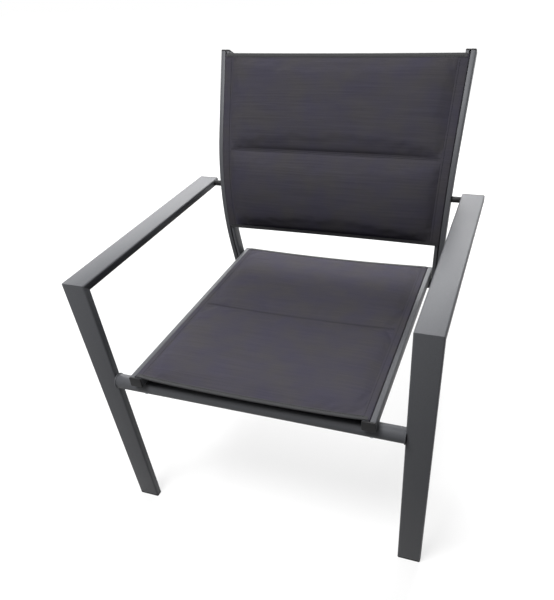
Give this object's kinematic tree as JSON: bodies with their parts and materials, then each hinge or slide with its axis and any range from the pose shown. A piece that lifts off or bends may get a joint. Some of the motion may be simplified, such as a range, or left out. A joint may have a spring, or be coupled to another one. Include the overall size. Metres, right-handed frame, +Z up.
{
  "type": "sling patio chair",
  "caption": "Low-backed outdoor armchair with a padded seat and back sling held in grooved metal rails on a tube frame; stands on plastic feet and carries one sitter.",
  "frame": {"origin": "on the floor, at the middle of the chair's width and of its front-to-back reach", "axes": "+X towards the left hand of whoever sits in it, +Y towards the back, +Z up"},
  "size_m": [0.64, 0.6294, 0.7823],
  "materials": {
    "frame_coat": "satin",
    "sling_fabric": "matte",
    "black_plastic": "matte",
    "plated_steel": "satin"
  },
  "bodies": {
    "root": {"back_sling": "sling_fabric", "front_crossbar": "frame_coat", "left_arm": "frame_coat", "left_arm_bolt": "plated_steel", "left_arm_end_cap": "black_plastic", "left_arm_nut": "plated_steel", "left_arm_spacer": "black_plastic", "left_back_post": "frame_coat", "left_back_spline": "black_plastic", "left_front_foot": "black_plastic", "left_front_leg": "frame_coat", "left_front_rail_bolt": "plated_steel", "left_front_rail_nut": "plated_steel", "left_front_saddle": "black_plastic", "left_post_cap": "black_plastic", "left_rail_front_cap": "black_plastic", "left_rail_rear_cap": "black_plastic", "left_rear_foot": "black_plastic", "left_rear_rail_bolt": "plated_steel", "left_rear_rail_nut": "plated_steel", "left_rear_saddle": "black_plastic", "left_seat_rail": "frame_coat", "left_seat_spline": "black_plastic", "lower_back_spreader": "frame_coat", "rear_crossbar": "frame_coat", "right_arm": "frame_coat", "right_arm_bolt": "plated_steel", "right_arm_end_cap": "black_plastic", "right_arm_nut": "plated_steel", "right_arm_spacer": "black_plastic", "right_back_post": "frame_coat", "right_back_spline": "black_plastic", "right_front_foot": "black_plastic", "right_front_leg": "frame_coat", "right_front_rail_bolt": "plated_steel", "right_front_rail_nut": "plated_steel", "right_front_saddle": "black_plastic", "right_post_cap": "black_plastic", "right_rail_front_cap": "black_plastic", "right_rail_rear_cap": "black_plastic", "right_rear_foot": "black_plastic", "right_rear_rail_bolt": "plated_steel", "right_rear_rail_nut": "plated_steel", "right_rear_saddle": "black_plastic", "right_seat_rail": "frame_coat", "right_seat_spline": "black_plastic", "seat_sling": "sling_fabric", "upper_back_spreader": "frame_coat"}
  },
  "joints": []
}
